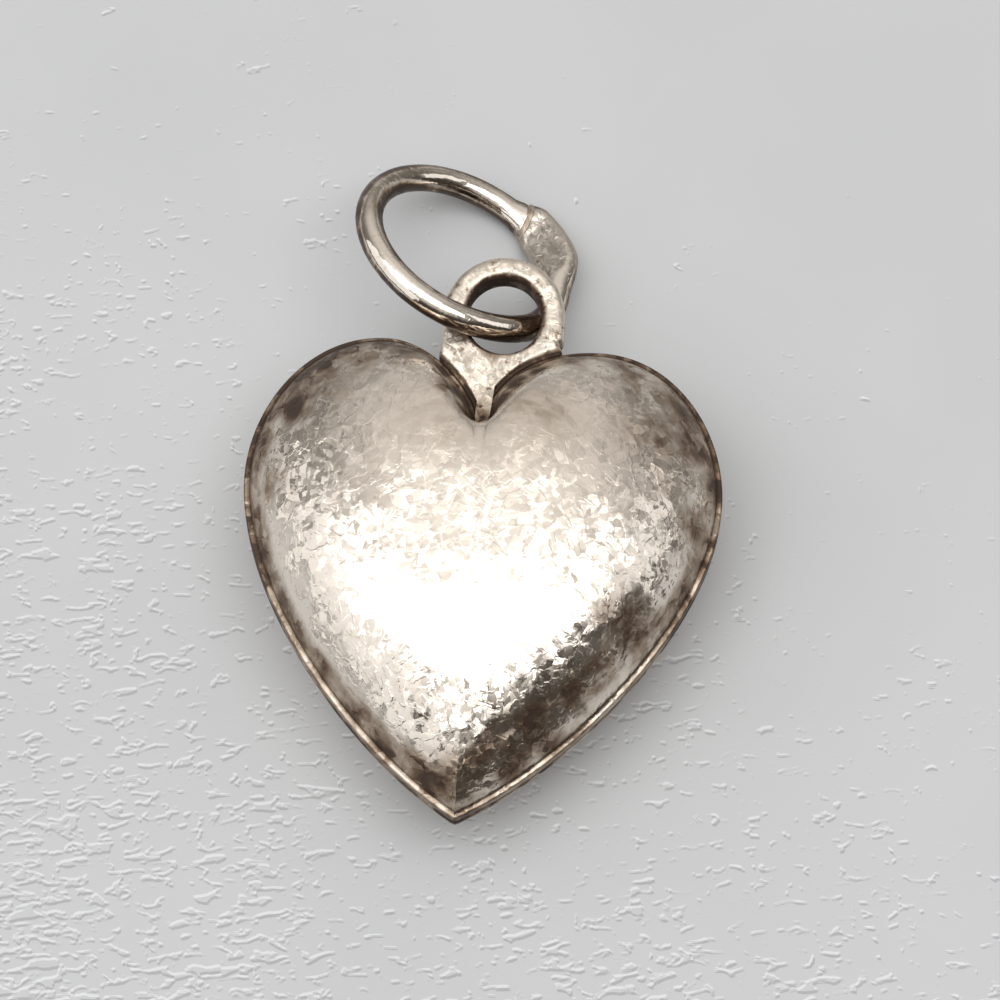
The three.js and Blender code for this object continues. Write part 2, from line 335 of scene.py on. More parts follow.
def new_finish(name):
    """A new material, its node tree and its shader."""
    material = bpy.data.materials.new(name)
    material.use_nodes = True
    return material, material.node_tree, material.node_tree.nodes["Principled BSDF"]


table_finish, paint, paint_shader = new_finish("table_finish")
paint_shader.inputs["Roughness"].default_value = TABLE_ROUGHNESS
place = add_node(paint, "TexCoord").outputs["Object"]
cloud = add_node(
    paint, "TexNoise", {"Scale": TABLE_CLOUDS, "Detail": CLOUD_DETAIL}, {"Vector": place}
).outputs["Fac"]
plain = add_ramp(paint, cloud, CLOUD_STOPS)
far_side = flecks(paint, place, -FLECK_EDGE)
near_side = flecks(paint, place, FLECK_EDGE)
# Painted highlight and shade of the flecks, laid into the colour of the paint.
painted_relief = calc(paint, "SUBTRACT", far_side, near_side)
fleck_light_and_shade = calc(paint, "MULTIPLY_ADD", painted_relief, FLECK_PAINTED_LIGHT, 1.0)
paint.links.new(scaled(paint, plain, fleck_light_and_shade), paint_shader.inputs["Base Color"])
table.data.materials.append(table_finish)
print("table paint nodes", len(paint.nodes))

# %% [markdown]
# ## The heart's outline
#
# Both halves, the seam and the eyelet follow one outline, so it is worked out once. A heart could
# be drawn with a formula, but this one was cut by hand and its lobes differ a little. Four Bezier
# curves a side give that freedom with few numbers. All sizes are in millimetres on the plane of the
# rim, and a finished piece is scaled to metres and lifted to the rim's height.

# %% Heart outline
RIM_HEIGHT = 2.732
HALF_WIDTH = 7.5
WIDEST_Y = 1.95
LOBE_TOP = (3.42, 6.91)
CLEFT = Vector((-0.26, 4.02, 0))
TIP_Y = -8.91
TIP_SHOULDER = (0.9, -8.36)
TIP_ROUND = 0.1
TIP_PULL = 2 / 3
CLEFT_LEAN = 0.22
RIGHT_LOBE = (1.8, 2.0)
LEFT_LOBE = (1.15, 1.55)
LOBE_REACH = 2.38
SHOULDER_RISE = 2.5
FLANK_FALL = 3.5
FLANK_PULL = (4.1, -6.16)
CURVE_STEPS = (40, 36, 56, 10)


def heart_side(side):
    """Points of one side from the cleft down to the tip, without the tip: +1 right, -1 left."""

    def at(x, y):
        return Vector((side * x, y, 0))

    rise, run = RIGHT_LOBE if side > 0 else LEFT_LOBE
    top = at(*LOBE_TOP)
    top_right = at(LOBE_TOP[0] + LOBE_REACH, LOBE_TOP[1])
    widest = at(HALF_WIDTH, WIDEST_Y)
    shoulder = at(*TIP_SHOULDER)
    tip = at(0, TIP_Y)
    corner = at(TIP_ROUND, TIP_Y)
    curves = [
        (CLEFT, CLEFT + at(CLEFT_LEAN, rise), at(LOBE_TOP[0] - run, LOBE_TOP[1]), top),
        (top, top_right, at(HALF_WIDTH, WIDEST_Y + SHOULDER_RISE), widest),
        (widest, at(HALF_WIDTH, WIDEST_Y - FLANK_FALL), at(*FLANK_PULL), shoulder),
        (shoulder, shoulder.lerp(corner, TIP_PULL), tip.lerp(corner, TIP_PULL), tip),
    ]
    points = []
    for curve, steps in zip(curves, CURVE_STEPS):
        points += interpolate_bezier(*curve, steps + 1)[:-1]
    return points


def heart_outline():
    """The whole outline, counter-clockwise from the tip."""
    tip = Vector((0, TIP_Y, 0))
    return [tip, *reversed(heart_side(1)), *heart_side(-1)[1:]]


outline = heart_outline()
print("outline points", len(outline))

# %% [markdown]
# The foot of the dome, the seam and the solder run beside the outline at a fixed distance. A curve
# could be offset in the editor, but here the points have to stay matched one to one, so that rows can
# run from loop to loop. So each point is moved across the outline's direction there.

# %% Loops beside the outline
FLANGE_WIDTH = 0.18


def moved_in(loop, distance):
    """The loop moved inwards by a distance, or outwards by a negative one."""
    moved = []
    for i, point in enumerate(loop):
        arriving = (point - loop[i - 1]).normalized()
        leaving = (loop[(i + 1) % len(loop)] - point).normalized()
        run = (arriving + leaving).normalized()
        moved.append(point + Vector((-run.y, run.x, 0)) * distance)
    return moved


def lifted(loop, height):
    """The loop at another height."""
    return [Vector((point.x, point.y, height)) for point in loop]


dome_foot = moved_in(outline, FLANGE_WIDTH)
print("foot of the dome has", len(dome_foot), "points,", FLANGE_WIDTH, "mm inside the outline")

# %% [markdown]
# ## Pressed halves
#
# A maker presses each half from sheet: a dome with a narrow flange around it. It could be sculpted,
# or inflated with a modifier, but then the crease below the cleft would be left to chance. Here the
# dome is a stack of contours: the heart's outline at the foot, rounding off to a circle at the
# crown. Near the cleft the contours round off slowly, and that leaves the crease.

# %% Contours
FRONT_DEPTH = 3.05
CROWN_SHARPNESS = 3.1
CROWN_FULLNESS = 0.72
CROWN_RADIUS = 7.2
OPEN_ROUNDING = 3
CREASE_ROUNDING = 1.2
CREASE_SPREAD = math.radians(25)


def blend(low, high, share):
    """A value between two others."""
    return low + (high - low) * share


def crown_profile(reach, flat):
    """Height of the dome, from 1 on its crown to 0 at its foot."""
    slope = max(0, (reach - flat) / (1 - flat))
    return (1 - slope**CROWN_SHARPNESS) ** CROWN_FULLNESS


def contour(foot, reach, height):
    """One contour of the dome at a share of the way out from the middle."""
    points = []
    cleft_angle = math.atan2(CLEFT.y, CLEFT.x)
    for point in foot:
        from_cleft = (math.atan2(point.y, point.x) - cleft_angle) / CREASE_SPREAD
        rounding = blend(OPEN_ROUNDING, CREASE_ROUNDING, math.exp(-from_cleft * from_cleft))
        radius = blend(CROWN_RADIUS, point.length, reach**rounding)
        level = point.normalized() * reach * radius
        points.append(Vector((level.x, level.y, height)))
    return points


def dome_contours(foot, steps, low, high, flat):
    """The contours from the foot of a dome to its crown, each with its reach."""
    for step in range(steps, 0, -1):
        reach = math.sin(0.5 * math.pi * step / steps)
        yield contour(foot, reach, blend(low, high, crown_profile(reach, flat))), reach


print("dome rises", FRONT_DEPTH, "mm over the rim")

# %% [markdown]
# The mesh grows like knitting: a closed row of edges is extruded, and the new row is set on the next
# contour. Each vertex remembers its place in its row, so the extruded ones know where to go, and its
# reach, the share of the way out from the middle, which the wear and the finish read later.

# %% Rows of edges
class Rows:
    """A mesh that grows by extruding one closed row of edges after another."""

    def __init__(self, points, reach=1.0):
        self.mesh = bmesh.new()
        self.place = self.mesh.verts.layers.int.new("place")
        self.reach = self.mesh.verts.layers.float.new("reach")
        verts = [self.mesh.verts.new(point) for point in points]
        for i, vert in enumerate(verts):
            vert[self.place] = i
            vert[self.reach] = reach
        self.first = [self.mesh.edges.new((verts[i - 1], vert)) for i, vert in enumerate(verts)]
        self.last = self.first

    def add(self, points, reach=1.0):
        """Extrudes the last row and sets the new one on the given points."""
        made = bmesh.ops.extrude_edge_only(self.mesh, edges=self.last)["geom"]
        for vert in (item for item in made if isinstance(item, bmesh.types.BMVert)):
            vert.co = points[vert[self.place]]
            vert[self.reach] = reach
        self.last = [item for item in made if isinstance(item, bmesh.types.BMEdge)]

    def restart(self):
        """Goes back to the first row, to grow from its other side."""
        self.last = self.first

    def close(self):
        """Draws the last row together in one point, which closes the mesh like a purse."""
        verts = list(dict.fromkeys(vert for edge in self.last for vert in edge.verts))
        middle = sum((vert.co for vert in verts), Vector()) / len(verts)
        bmesh.ops.pointmerge(self.mesh, verts=verts, merge_co=middle)

    def join(self):
        """Bridges the last row to the first, which makes a ring."""
        bmesh.ops.bridge_loops(self.mesh, edges=self.last + self.first)


def knitted(loops):
    """Rows that grow along a list of loops."""
    made = Rows(loops[0])
    for loop in loops[1:]:
        made.add(loop)
    return made


print("a row of the dome has", len(outline), "edges")

# %% [markdown]
# A charm that has hung among keys and coins for years isn't smooth. It could be sculpted, but the
# same dents would be hard to make twice. Broad dents come from a slow noise and small dings from a
# quicker one, and both die out at the stiff rim. A few long knocks are listed: each is a straight
# groove from one place to another, with its width and its depth.

# %% Dents
DENT_WIDTH = 2.6
DENT_DEPTH = 0.035
DENT_FADE = 4
DING_WIDTH = 0.9
DING_DEPTH = 0.009
KNOCKS = [
    ((1.1, -6.7), (3.4, -5.3), 0.3, 0.07),
    ((4.4, -3.4), (5.1, -2.3), 0.35, 0.08),
    ((6.75, 0.0), (6.85, 1.7), 0.4, 0.09),
    ((-6.3, 4.5), (-5.8, 3.4), 0.35, 0.07),
    ((5.2, 5.0), (5.9, 4.1), 0.3, 0.04),
    ((-1.5, 5.8), (-0.45, 3.8), 0.34, 0.22),
    ((-0.05, 3.8), (1.5, 6.0), 0.34, 0.22),
    ((-0.25, 3.6), (-0.2, 2.6), 0.9, 0.1),
]
KNOCK_FADE = 12


def knocked(point):
    """How far the knocks press a place in."""
    press = 0
    for start, end, width, depth in KNOCKS:
        run = Vector(end) - Vector(start)
        share = min(1, max(0, (point.xy - Vector(start)).dot(run) / run.length_squared))
        away = (point.xy - Vector(start) - share * run).length / width
        press += depth * math.exp(-away * away)
    return press


def dented(mesh, reach_layer, seed):
    """Pushes the vertices in and out along their normals."""
    bmesh.ops.recalc_face_normals(mesh, faces=mesh.faces)
    mesh.normal_update()
    shift = Vector((seed, 2 * seed, 3 * seed))
    pushes = {}
    for vert in mesh.verts:
        dent = DENT_DEPTH * noise.noise(vert.co / DENT_WIDTH + shift)
        ding = DING_DEPTH * noise.noise(vert.co / DING_WIDTH - shift)
        fade = min(1, DENT_FADE * (1 - vert[reach_layer]))
        stiff = min(1, KNOCK_FADE * (1 - vert[reach_layer]))
        pushes[vert] = (dent + ding) * fade - knocked(vert.co) * stiff
    for vert, push in pushes.items():
        vert.co += vert.normal * push


print("knocks set by hand", len(KNOCKS))

# %% [markdown]
# ## Wear and painted shade
#
# Wear, and painted shade with it, is stored in the mesh as two numbers for every vertex, which the
# finish reads later. Soil is tarnish that nothing rubs off, and it also carries painted shade in
# grooves and hollows and on sides that face away from the light. Gloss marks the places on the lobes
# that a thumb has rubbed smooth.
# It could be painted by hand, but patches with a place, a radius and a strength are quick to change.

# %% Patches of wear and painted shade
SOIL_AND_SHADE_PATCHES = [
    (-4.4, 6.3, 1.1, 0.8), (-6.4, 4.3, 0.9, 0.7), (-6.9, 1.2, 0.8, 0.5), (5.0, 5.9, 1.2, 0.6),
    (6.6, 3.8, 1.1, 0.6), (6.9, 0.8, 0.8, 0.8), (1.6, -7.3, 0.7, 0.9), (0.0, -8.4, 0.8, 0.6),
    (4.9, -2.9, 0.8, 0.9), (3.3, -5.0, 0.6, 0.9), (2.3, -6.2, 0.7, 0.9),
    # The six strongest patches, next to the cleft, are painted shade in the groove between the tab and
    # the lobes.
    (-1.0, 4.7, 0.5, 1.7), (-1.5, 5.7, 0.35, 1.7), (-0.6, 3.9, 0.35, 1.4),
    (0.15, 4.4, 0.4, 1.7), (0.7, 5.2, 0.35, 1.7), (1.4, 5.9, 0.3, 1.7),
    (-1.4, 3.2, 1.1, 0.16), (1.6, 3.7, 1.3, 0.2), (-6.2, 4.0, 0.7, 1.0), (-5.2, 5.6, 0.6, 1.0),
    (-2.6, 6.4, 0.7, 1.0), (-3.8, 6.5, 0.7, 0.9), (2.6, 6.5, 0.7, 0.8), (3.9, 6.5, 0.7, 0.8),
    (5.4, 3.6, 1.2, 0.4), (5.9, 2.2, 1.0, 0.3), (-5.9, 4.9, 1.3, 0.5), (-0.4, -8.1, 0.7, 1.0),
]
GLOSS_PATCHES = [(-3.4, 4.4, 1.9, 1.0), (2.9, 4.5, 1.7, 1.0), (0.2, 3.0, 1.2, 0.6)]


def smooth_share(value, low, high):
    """Nothing below the low value, one above the high one, and a smooth rise between."""
    share = min(1, max(0, (value - low) / (high - low)))
    return share * share * (3 - 2 * share)


def patched(point, patches):
    """The strongest patch at a place: each patch is its place, its radius and its strength."""
    found = 0
    for x, y, radius, strength in patches:
        away = math.hypot(point.x - x, point.y - y) / radius
        found = max(found, strength * math.exp(-away * away))
    return found


def weathered_and_shaded(mesh, soil_and_shade, gloss=lambda vert: 0):
    """Stores the soil, with its painted shade, and the gloss of every vertex."""
    soil_and_shade_layer = mesh.verts.layers.float.new("soil_and_shade")
    gloss_layer = mesh.verts.layers.float.new("gloss")
    for vert in mesh.verts:
        vert[soil_and_shade_layer] = soil_and_shade(vert)
        vert[gloss_layer] = gloss(vert)


print("patches of soil", len(SOIL_AND_SHADE_PATCHES), "and of gloss", len(GLOSS_PATCHES))

# %% [markdown]
# Along the rim the wear follows the shape. Tarnish and painted shade lie in a band along the foot of
# the dome, broader and paler on the flank at the lower right and lighter again at the rim there. The
# side of the flange gets painted shade. On the two lower flanks the flange is lighter, with less
# painted shade on its side.

# %% Wear and painted shade along the rim
FLANGE_ROUND = 0.07
NEAR_MIDDLE = 0.1
RIGHT_FLANK = Vector((0.57, -0.82))
LEFT_FLANK = Vector((-0.55, -0.835))
FLANK_SPREAD = (0.75, 0.95)
# The band along the foot of the dome is tarnish and painted shade.
FOOT_SOIL_AND_SHADE = 0.68
LEFT_FOOT_MORE = 0.05
RIGHT_FOOT_LESS = 0.28
FOOT_START = 0.91
RIGHT_FOOT_START = 0.77
FOOT_FADE = 0.06
FOOT_LIGHTER_AT_RIM = 0.75
FOOT_LIGHTER_REACH = (0.93, 0.98)
FLANGE_SOIL = 0.75
TOP_FLANGE_SOIL = 0.25
TOP_FLANGE_Y = (1, 5)
# The side of the flange gets painted shade, and less of it on the lower flanks.
FLANGE_SIDE_SHADE = 1.3
LOW_FLANK_FLANGE_LIGHTER = 0.35
LOW_FLANK_LESS_EDGE_SHADE = 0.75
LEFT_FLANK_SHARE = 0.8


def on_flank(point, flank):
    """One on the flank of the heart that lies in a direction, and nothing elsewhere."""
    share = point.xy.dot(flank) / max(NEAR_MIDDLE, point.xy.length)
    return smooth_share(share, *FLANK_SPREAD)


def flange_soil_and_shade(point, top):
    """Tarnish on the top of the flange and painted shade on its side; the top is at the given height.
    """
    low_flanks = max(on_flank(point, RIGHT_FLANK), LEFT_FLANK_SHARE * on_flank(point, LEFT_FLANK))
    worn = FLANGE_SOIL + TOP_FLANGE_SOIL * smooth_share(point.y, *TOP_FLANGE_Y)
    worn -= LOW_FLANK_FLANGE_LIGHTER * low_flanks
    edge = FLANGE_SIDE_SHADE - LOW_FLANK_LESS_EDGE_SHADE * low_flanks
    return blend(edge, worn, smooth_share(point.z, top - FLANGE_ROUND, top))


def dome_soil_and_shade(point, reach):
    """Tarnish and painted shade along the foot of the dome and in the patches."""
    right = on_flank(point, RIGHT_FLANK)
    start = blend(FOOT_START, RIGHT_FOOT_START, right)
    foot = FOOT_SOIL_AND_SHADE + LEFT_FOOT_MORE * on_flank(point, LEFT_FLANK) - RIGHT_FOOT_LESS * right
    foot *= smooth_share(reach, start, start + FOOT_FADE)
    foot *= 1 - FOOT_LIGHTER_AT_RIM * right * smooth_share(reach, *FOOT_LIGHTER_REACH)
    return max(foot, patched(point, SOIL_AND_SHADE_PATCHES))


print("soil at the foot of the dome", FOOT_SOIL_AND_SHADE, "and on the side of the flange", FLANGE_SIDE_SHADE)

# %% [markdown]
# The sharp tip would send a hard ridge up the dome, but sheet doesn't fold that sharply when it is
# pressed. A bevel would need clean edges to work on. A few passes of smoothing, on the vertices
# near the ridge alone, round it and leave the rim sharp.

# %% Soft ridge
RIDGE_TOP = -1.5
RIDGE_HALF_WIDTH = 1.2
RIDGE_RIM = 0.975
RIDGE_PASSES = 14
RIDGE_SMOOTHING = 0.5


def soften_ridge(half):
    """Rounds the ridge that runs up the dome from the sharp tip."""
    ridge = [
        vert
        for vert in half.mesh.verts
        if vert.co.y < RIDGE_TOP
        and abs(vert.co.x) < RIDGE_HALF_WIDTH
        and vert[half.reach] < RIDGE_RIM
    ]
    for _ in range(RIDGE_PASSES):
        bmesh.ops.smooth_vert(
            half.mesh, verts=ridge, factor=RIDGE_SMOOTHING,
            use_axis_x=True, use_axis_y=True, use_axis_z=True,
        )
    print("softened", len(ridge), "vertices of the ridge")


# %% [markdown]
# Now one half can grow. From the edge of the flange one run of rows goes over the rounded edge and
# up the dome to the crown. A second run goes from the same edge up the inner wall, so that the half
# is a closed shell with the thickness of sheet. The dents come last, and none may rise over the crown.

# %% Pressed half
FLANGE_THICKNESS = 0.3
SEAM_THICKNESS = 0.06
SHEET = 0.38
OUTER_ROWS = 56
INNER_ROWS = 9
ROUND_STEPS = 4
FLANGE_GLOSS = 0.8
FLANGE_GLOSS_REACH = (0.97, 0.995)


def pressed_half(depth, flat, seed):
    """One half with its flange, its dome and its inner wall, in millimetres on the rim's plane."""
    face = SEAM_THICKNESS / 2
    flange_top = face + FLANGE_THICKNESS
    inner_foot = moved_in(outline, FLANGE_WIDTH + SHEET)
    half = Rows(lifted(outline, face))
    for step in range(ROUND_STEPS + 1):
        angle = 0.5 * math.pi * step / ROUND_STEPS
        edge = moved_in(outline, FLANGE_ROUND * (1 - math.cos(angle)))
        half.add(lifted(edge, flange_top - FLANGE_ROUND * (1 - math.sin(angle))))
    for points, reach in dome_contours(dome_foot, OUTER_ROWS, flange_top, depth, flat):
        half.add(points, reach)
    half.close()
    half.restart()
    for points, _ in dome_contours(inner_foot, INNER_ROWS, face, depth - SHEET, flat):
        half.add(points)
    half.close()

    def soil_and_shade(vert):
        reach = vert[half.reach]
        return flange_soil_and_shade(vert.co, flange_top) if reach == 1.0 else dome_soil_and_shade(vert.co, reach)

    def gloss(vert):
        rim = FLANGE_GLOSS * smooth_share(vert[half.reach], *FLANGE_GLOSS_REACH)
        return max(rim, patched(vert.co, GLOSS_PATCHES))

    soften_ridge(half)
    weathered_and_shaded(half.mesh, soil_and_shade, gloss)
    dented(half.mesh, half.reach, seed)
    for vert in half.mesh.verts:
        vert.co.z = min(vert.co.z, depth)
    return half.mesh


print("a half has", OUTER_ROWS, "rows outside and", INNER_ROWS, "inside")

# %% [markdown]
# Every finished mesh goes through the same last steps: its normals are made to point outwards, it
# is scaled to metres and lifted to the height of the rim, and it is tied to the part of the frame
# that it stands for.

# %% Finish a piece
MERGE_DISTANCE = 1e-6


def make_piece(name, mesh, body, node, place=Matrix.Translation((0, 0, RIM_HEIGHT))):
    """Turns a bmesh in millimetres into a piece in metres that rides on a body."""
    bmesh.ops.remove_doubles(mesh, verts=mesh.verts, dist=MERGE_DISTANCE)
    bmesh.ops.recalc_face_normals(mesh, faces=mesh.faces)
    bmesh.ops.transform(mesh, matrix=Matrix.Scale(MM, 4) @ place, verts=mesh.verts)
    for face in mesh.faces:
        face.smooth = True
    piece = mesh_object(name, mesh)
    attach(piece, body)
    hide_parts(node)
    print(name, "has", len(piece.data.polygons), "faces")
    return piece


# %% [markdown]
# The two halves come from the same press. The back is a little less deep, and it has a worn flat on
# its crown, on which the pendant lies. It is made as a front and then mirrored.

# %% Front and back halves
FRONT_FLAT = 0.04
BACK_FLAT = 0.26
FRONT_SEED = 3.1
BACK_SEED = 7.7

front_mesh = pressed_half(FRONT_DEPTH, FRONT_FLAT, FRONT_SEED)
front = make_piece("heart_front", front_mesh, "heart", "front_shell")
back_mesh = pressed_half(RIM_HEIGHT, BACK_FLAT, BACK_SEED)
bmesh.ops.scale(back_mesh, vec=(1, 1, -1), verts=back_mesh.verts)
back = make_piece("heart_back", back_mesh, "heart", "back_shell")

# %% [markdown]
# The air inside would burst the heart when it is soldered, so the maker drills a pinhole in the
# back. A Boolean with a thin cylinder cuts it, and the result takes the place of the plain mesh.

# %% Pinhole
PINHOLE = Vector((0, 2.3, 0.4)) * MM
PINHOLE_RADIUS = 0.35 * MM
PINHOLE_LENGTH = 1.6 * MM
PINHOLE_SIDES = 32

drill_mesh = bmesh.new()
bmesh.ops.create_cone(
    drill_mesh, cap_ends=True, segments=PINHOLE_SIDES, radius1=PINHOLE_RADIUS,
    radius2=PINHOLE_RADIUS, depth=PINHOLE_LENGTH, matrix=Matrix.Translation(PINHOLE),
)
drill = mesh_object("drill", drill_mesh)
pinhole = back.modifiers.new("pinhole", "BOOLEAN")
pinhole.operation = "DIFFERENCE"
pinhole.object = drill
drilled = back.evaluated_get(bpy.context.evaluated_depsgraph_get())
back.data = bpy.data.meshes.new_from_object(drilled)
back.modifiers.clear()
bpy.data.objects.remove(drill)
print("back with its pinhole has", len(back.data.polygons), "faces")

# %% [markdown]
# ## Seam
#
# The halves are soldered flange to flange. What shows is a hair line of dull solder, sunk a little
# between the two bright edges. A curve with a bevel could follow the rim, but four rows on the same
# outline fit it exactly.

# %% Seam
SEAM_SINK = 0.03


def seam_bead():
    """A flat band of solder around the rim, between the flanges."""
    half = SEAM_THICKNESS / 2
    outer = moved_in(outline, SEAM_SINK)
    inner = moved_in(outline, FLANGE_WIDTH + SHEET / 2)
    section = [(outer, half), (outer, -half), (inner, -half), (inner, half)]
    bead = knitted([lifted(loop, height) for loop, height in section])
    bead.join()
    return bead.mesh


seam = make_piece("seam_bead", seam_bead(), "heart", "seam_solder")

# %% [markdown]
# ## Eyelet
#
# The eyelet is cut from flat stock: a round eye over a tab whose lower end is filed to a wedge, so
# that it fills the cleft and ends in a small tongue. It could be cut by Booleans, but the wedge has to
# follow the lobes closely. Seen from the middle of the hole, each direction meets the outer edge once,
# so the edge can be found by looking in each direction, first for the lobes beside the wedge.

# %% Lobes beside the wedge
HOLE_CENTRE = Vector((0.2, 7.93, 0))
WEDGE_GAP = 0.09
CLEFT_AT = sum(CURVE_STEPS)
LOBE_POINTS = CURVE_STEPS[0]
NEARLY_PARALLEL = 1e-9


def lobe_edges():
    """The lobes' edges beside the wedge, as pairs of neighbouring points."""
    row = moved_in(outline, -WEDGE_GAP)
    right_lobe = row[CLEFT_AT - LOBE_POINTS : CLEFT_AT]
    left_lobe = row[CLEFT_AT + 1 : CLEFT_AT + LOBE_POINTS]
    near = right_lobe + left_lobe
    return list(zip(near[:-1], near[1:]))


def crossing(towards, start, end):
    """Distance along a direction from the hole's centre to a stretch of edge, or None."""
    edge = end - start
    turn = towards.cross(edge).z
    if abs(turn) < NEARLY_PARALLEL:
        return None
    gap = start - HOLE_CENTRE
    distance = gap.cross(edge).z / turn
    share = gap.cross(towards).z / turn
    return distance if distance > 0 and 0 <= share <= 1 else None


wedge_edges = lobe_edges()
print("stretches of edge beside the wedge", len(wedge_edges))

# %% [markdown]
# The outer edge is the round of the eye, the straight side of the tab, the curve of a lobe or the
# tongue, whichever a direction meets. The tongue is an oval, and a nick breaks the tab's right side.

# %% Eyelet outline
HOLE_HALF_WIDTH = 1.19
HOLE_HALF_HEIGHT = 1.34
EYELET_WALL = 0.76
EYELET_HALF_WIDTH = HOLE_HALF_WIDTH + EYELET_WALL
EYELET_HALF_HEIGHT = HOLE_HALF_HEIGHT + EYELET_WALL
NICK_ANGLE = math.radians(-25)
NICK_SPREAD = math.radians(3.5)
NICK_DEPTH = 0.16
TONGUE_CENTRE = Vector((-0.22, 4.42, 0))
TONGUE_RADII = (0.25, 0.66)


def tongue_distance(towards):
    """How far the tongue at the wedge's lower end reaches in one direction, or nothing."""
    gap = HOLE_CENTRE - TONGUE_CENTRE
    start = Vector((gap.x / TONGUE_RADII[0], gap.y / TONGUE_RADII[1]))
    step = Vector((towards.x / TONGUE_RADII[0], towards.y / TONGUE_RADII[1]))
    middle = -start.dot(step) / step.length_squared
    inside = middle * middle - (start.length_squared - 1) / step.length_squared
    return middle + math.sqrt(inside) if inside > 0 else 0


def outer_distance(towards):
    """How far the eyelet reaches from the hole's centre in one direction."""
    if towards.y >= 0:
        return 1 / math.hypot(towards.x / EYELET_HALF_WIDTH, towards.y / EYELET_HALF_HEIGHT)
    side = EYELET_HALF_WIDTH / abs(towards.x) if towards.x else math.inf
    if towards.x > 0:
        nick = (math.atan2(towards.y, towards.x) - NICK_ANGLE) / NICK_SPREAD
        side -= NICK_DEPTH * math.exp(-nick * nick)
    found = [crossing(towards, start, end) for start, end in wedge_edges]
    wedge = min([side] + [distance for distance in found if distance])
    return max(wedge, tongue_distance(towards))


print("eyelet is", round(2 * EYELET_HALF_WIDTH, 2), "mm wide")

# %% [markdown]
# The eyelet is then a ring of rows around its section: from the wall of the hole over the face to
# the outer edge and back underneath. The corners of the section are arcs, large around the eye,
# which was filed round, and small on the wedge.

# %% Eyelet section
EYELET_HALF_THICKNESS = 0.47
EYELET_ROUND = 0.26
WEDGE_ROUND = 0.1
EYELET_STEPS = 720
CORNER_STEPS = 5
FACE_STEPS = 6


def eyelet_section(width, rounding):
    """Points across one section as (distance from the hole, height), once around."""
    half = EYELET_HALF_THICKNESS
    corners = [(0, 1), (1, 1), (1, -1), (0, -1)]
    starts = [math.pi, math.pi / 2, 0, -math.pi / 2]
    section = []
    for (side, level), start in zip(corners, starts):
        centre_across = rounding if side == 0 else width - rounding
        centre_height = level * (half - rounding)
        for step in range(CORNER_STEPS + 1):
            angle = start - 0.5 * math.pi * step / CORNER_STEPS
            across = centre_across + rounding * math.cos(angle)
            section.append((across, centre_height + rounding * math.sin(angle)))
        if side == 0 and level == 1:
            flat = width - 2 * rounding
            section += [(rounding + flat * k / FACE_STEPS, half) for k in range(1, FACE_STEPS)]
    return section


def eyelet_rows():
    """The rows around the hole, each at the same place of every section."""
    columns = []
    for step in range(EYELET_STEPS):
        angle = 2 * math.pi * step / EYELET_STEPS
        towards = Vector((math.cos(angle), math.sin(angle), 0))
        hole = 1 / math.hypot(towards.x / HOLE_HALF_WIDTH, towards.y / HOLE_HALF_HEIGHT)
        width = outer_distance(towards) - hole
        wedge = max(0, -towards.y)
        section = eyelet_section(width, blend(EYELET_ROUND, WEDGE_ROUND, wedge**2))
        columns.append(
            [HOLE_CENTRE + towards * (hole + across) + Vector((0, 0, up)) for across, up in section]
        )
    return list(zip(*columns))


rows = eyelet_rows()
print("eyelet has", len(rows), "rows of", EYELET_STEPS, "points")

# %% [markdown]
# Painted shade darkens the wall of the hole and the underside, and tarnish lies on the lower end of the
# tab, where the solder ran over it.

# %% Eyelet
# The wall of the hole and the underside get painted shade; the tab has tarnish.
HOLE_SHADE = 1.1
HOLE_EDGE = (1.04, 1.14)
TAB_SOIL = 0.6
TAB_Y = (4.0, 5.6)
UNDER_SHADE = 0.9
UNDER_Z = (-0.1, 0.35)


def eyelet_soil_and_shade(vert):
    """Painted shade in the hole and underneath, and tarnish on the tab."""
    from_centre = vert.co - HOLE_CENTRE
    across = math.hypot(from_centre.x / HOLE_HALF_WIDTH, from_centre.y / HOLE_HALF_HEIGHT)
    in_hole = 1 - smooth_share(across, *HOLE_EDGE)
    on_tab = 1 - smooth_share(vert.co.y, *TAB_Y)
    beneath = 1 - smooth_share(vert.co.z, *UNDER_Z)
    return max(HOLE_SHADE * in_hole, TAB_SOIL * on_tab, UNDER_SHADE * beneath)


plate = knitted(rows)
plate.join()
weathered_and_shaded(plate.mesh, eyelet_soil_and_shade)
eyelet = make_piece("eyelet_plate", plate.mesh, "heart", "eyelet")

# %% [markdown]
# ## Solder in the cleft
#
# Solder ran into the V between the wedge and the lobes. It is a thin round bead along both lobes,
# dark with grime and with painted shade of the narrow gap. A bevelled curve could make it too, but
# rows along the outline that the lobes already follow need nothing new.

# %% Solder in the cleft
BEAD_RADIUS = 0.075
BEAD_SIDES = 10
# The bead is near black, with grime and painted shade of the gap.
BEAD_GRIME_AND_SHADE = 1.2
BEAD_HEIGHT = SEAM_THICKNESS / 2 + FLANGE_THICKNESS - BEAD_RADIUS / 2


def cleft_path():
    """The middle of the gap between wedge and lobes, from one side of the tab to the other."""
    row = moved_in(outline, -WEDGE_GAP / 2)
    near = row[CLEFT_AT - LOBE_POINTS : CLEFT_AT + LOBE_POINTS]
    return [point for point in near if abs(point.x - HOLE_CENTRE.x) < EYELET_HALF_WIDTH]


